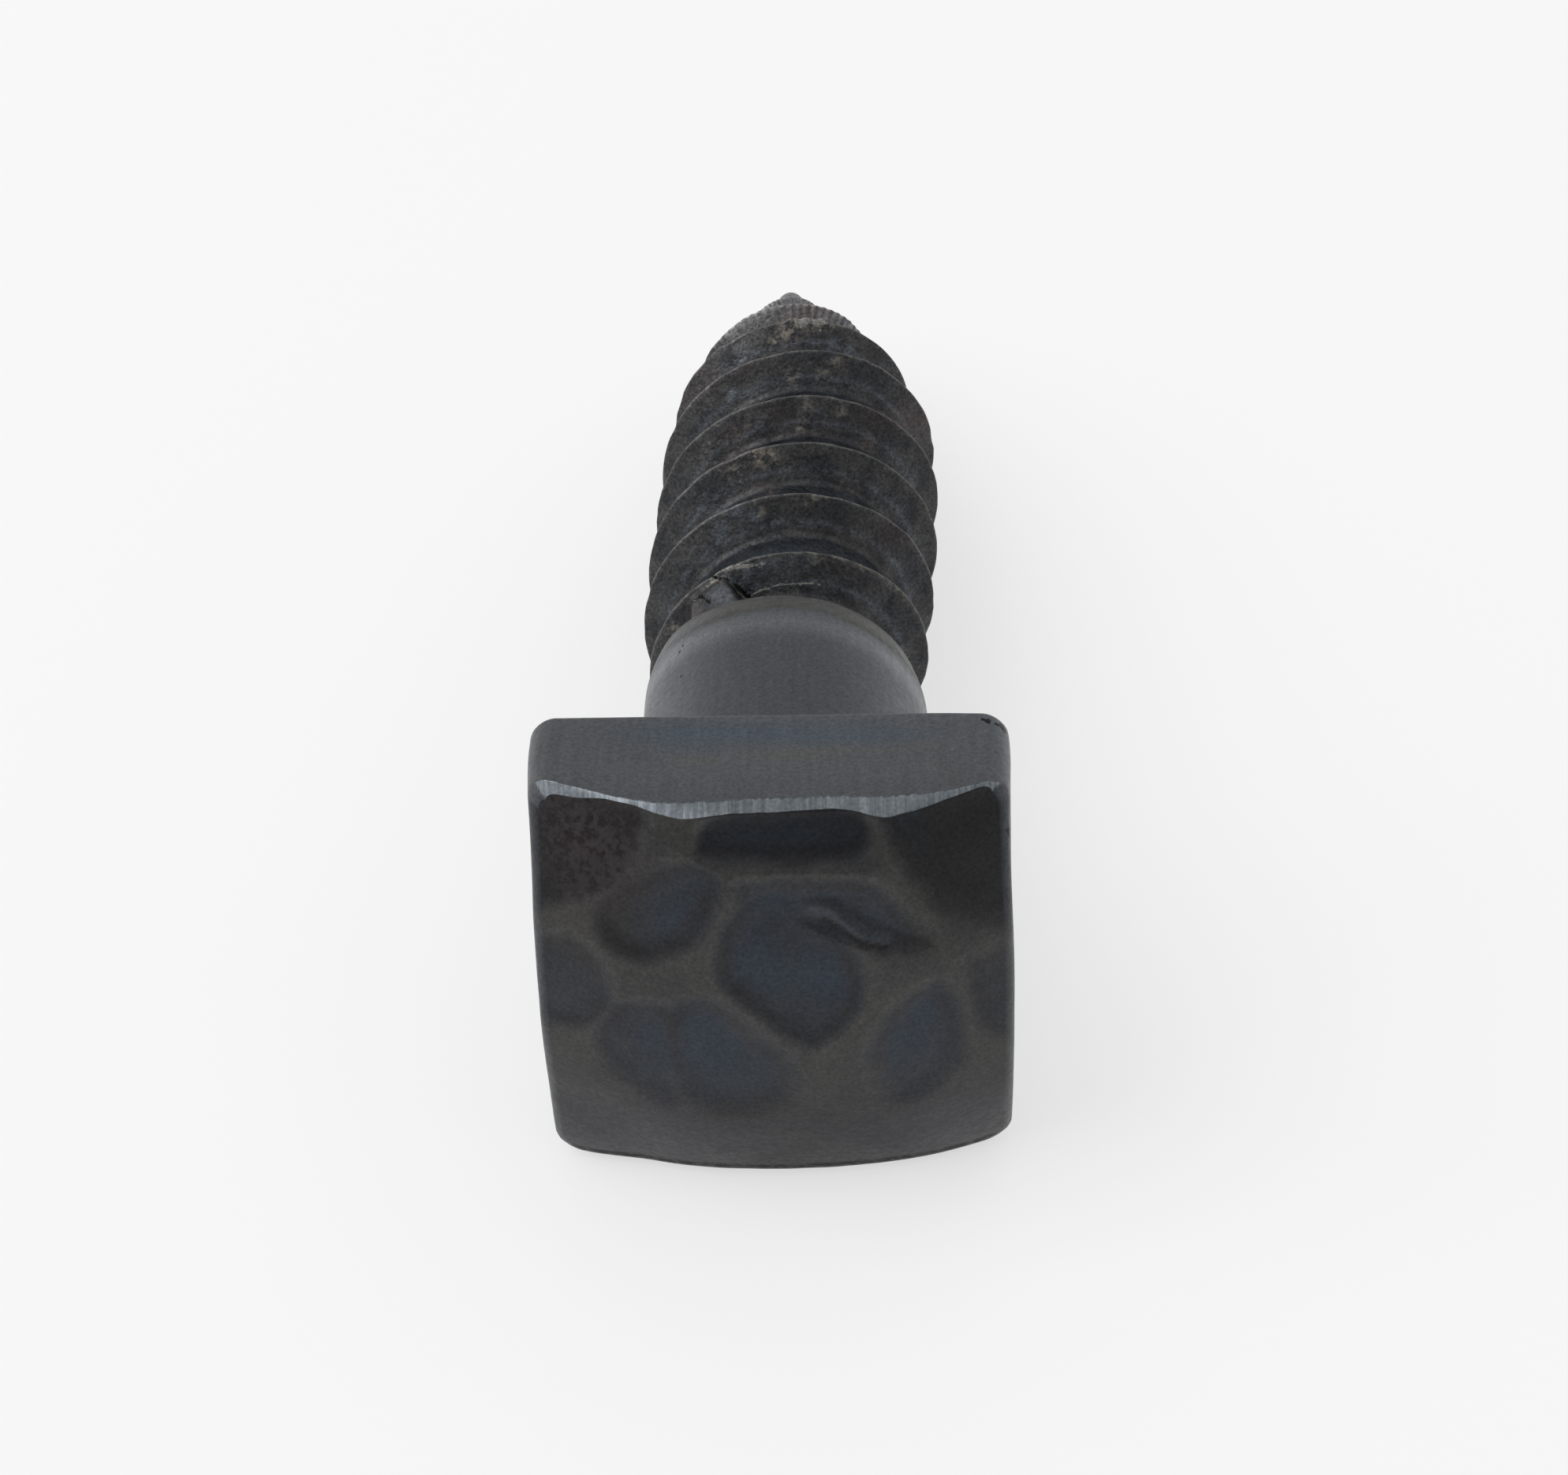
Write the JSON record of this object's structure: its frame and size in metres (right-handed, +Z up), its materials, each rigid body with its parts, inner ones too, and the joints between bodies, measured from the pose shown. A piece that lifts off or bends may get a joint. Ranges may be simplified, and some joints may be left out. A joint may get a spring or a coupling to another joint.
{
  "type": "square-head lag screw",
  "caption": "Square-head lag screw with a hand-hammered crowned head, smooth shank, coarse wood thread and gimlet point, for bolting timber, strap hinges or rail gear.",
  "frame": {"origin": "on the surface the screw lies on, under the middle of its bounding box", "axes": "+Y from the head towards the point, along the screw as it lies; +Z up; +X to the right as seen from the head. The screw's own axis drops 5.4 degrees towards the point, because the head is wider than the thread, and passes 0.27 mm to the right of the head's middle"},
  "size_m": [0.0194, 0.0584, 0.0199],
  "materials": {
    "blackened_steel": "black oxide over forged steel, satin on the shank and scaly in the thread"
  },
  "bodies": {
    "root": {"lag_screw": "blackened_steel"}
  },
  "joints": []
}
